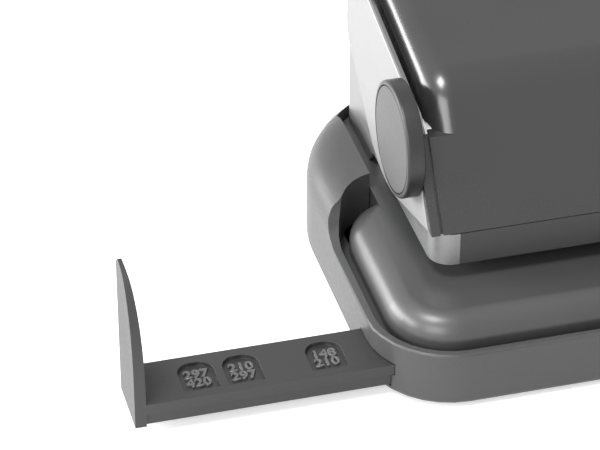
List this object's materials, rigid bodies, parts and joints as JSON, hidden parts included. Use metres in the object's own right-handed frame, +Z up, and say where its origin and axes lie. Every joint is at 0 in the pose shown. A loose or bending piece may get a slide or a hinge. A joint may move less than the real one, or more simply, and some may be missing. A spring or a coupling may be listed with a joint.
{
  "type": "four-hole punch",
  "caption": "Desk punch with a row of pins, a wide hinged lever over a steel frame, a rounded base and a sliding paper guide with an upright stop.",
  "frame": {"origin": "middle of the base pan's footprint, on the table", "axes": "+X along the row of pins to the right, -Y the side where the paper goes in, +Z up"},
  "size_m": [0.374, 0.125, 0.0872],
  "materials": {
    "pan_plastic": "satin moulded",
    "foot_rubber": "matte",
    "deck_paint": "satin paint",
    "frame_steel": "dull satin",
    "cover_steel": "bright satin",
    "cap_plastic": "satin",
    "lever_paint": "satin paint",
    "grip_rubber": "matte",
    "guide_plastic": "satin moulded",
    "plain_steel": "zinc",
    "tool_steel": "ground",
    "spring_steel": "drawn wire"
  },
  "bodies": {
    "base": {"base_pan": "pan_plastic", "feet": "foot_rubber", "deck": "deck_paint", "die_plate": "plain_steel", "frame": "frame_steel", "guide_bushes": "plain_steel", "back_stop": "plain_steel", "frame_screws": "plain_steel", "cheek_covers": "cover_steel", "pivot_shaft": "plain_steel", "pivot_cap_left": "cap_plastic", "pivot_cap_right": "cap_plastic", "guide_detent": "plain_steel", "shaft_washers": "plain_steel", "return_spring_1": "spring_steel", "return_spring_2": "spring_steel", "return_spring_3": "spring_steel", "return_spring_4": "spring_steel"},
    "lever": {"lever": "lever_paint", "press_bar": "plain_steel", "palm_grip": "grip_rubber"},
    "guide": {"paper_guide": "guide_plastic"},
    "pin_1": {"punch_pin_1": "tool_steel"},
    "pin_2": {"punch_pin_2": "tool_steel"},
    "pin_3": {"punch_pin_3": "tool_steel"},
    "pin_4": {"punch_pin_4": "tool_steel"}
  },
  "joints": [
    {"name": "lever_press", "type": "hinge", "parent": "base", "child": "lever", "pos_m": [0, -0.015, 0.055], "axis": [-1, 0, 0], "range_deg": [0, 18], "stiffness_Nm_per_rad": 2, "springref_deg": -17.19},
    {"name": "guide_slide", "type": "slide", "parent": "base", "child": "guide", "axis": [-1, 0, 0], "range_m": [-0.06, 0.03]},
    {"name": "pin_1_travel", "type": "slide", "parent": "base", "child": "pin_1", "axis": [0, 0, -1], "range_m": [0, 0.0073], "deforming": ["return_spring_1"]},
    {"name": "pin_2_travel", "type": "slide", "parent": "base", "child": "pin_2", "axis": [0, 0, -1], "range_m": [0, 0.0073], "deforming": ["return_spring_2"]},
    {"name": "pin_3_travel", "type": "slide", "parent": "base", "child": "pin_3", "axis": [0, 0, -1], "range_m": [0, 0.0073], "deforming": ["return_spring_3"]},
    {"name": "pin_4_travel", "type": "slide", "parent": "base", "child": "pin_4", "axis": [0, 0, -1], "range_m": [0, 0.0073], "deforming": ["return_spring_4"]}
  ],
  "couplings": [
    {"joint": "pin_1_travel", "follows": "lever_press", "m_per_rad": 0.022918},
    {"joint": "pin_2_travel", "follows": "lever_press", "m_per_rad": 0.022918},
    {"joint": "pin_3_travel", "follows": "lever_press", "m_per_rad": 0.022918},
    {"joint": "pin_4_travel", "follows": "lever_press", "m_per_rad": 0.022918}
  ]
}
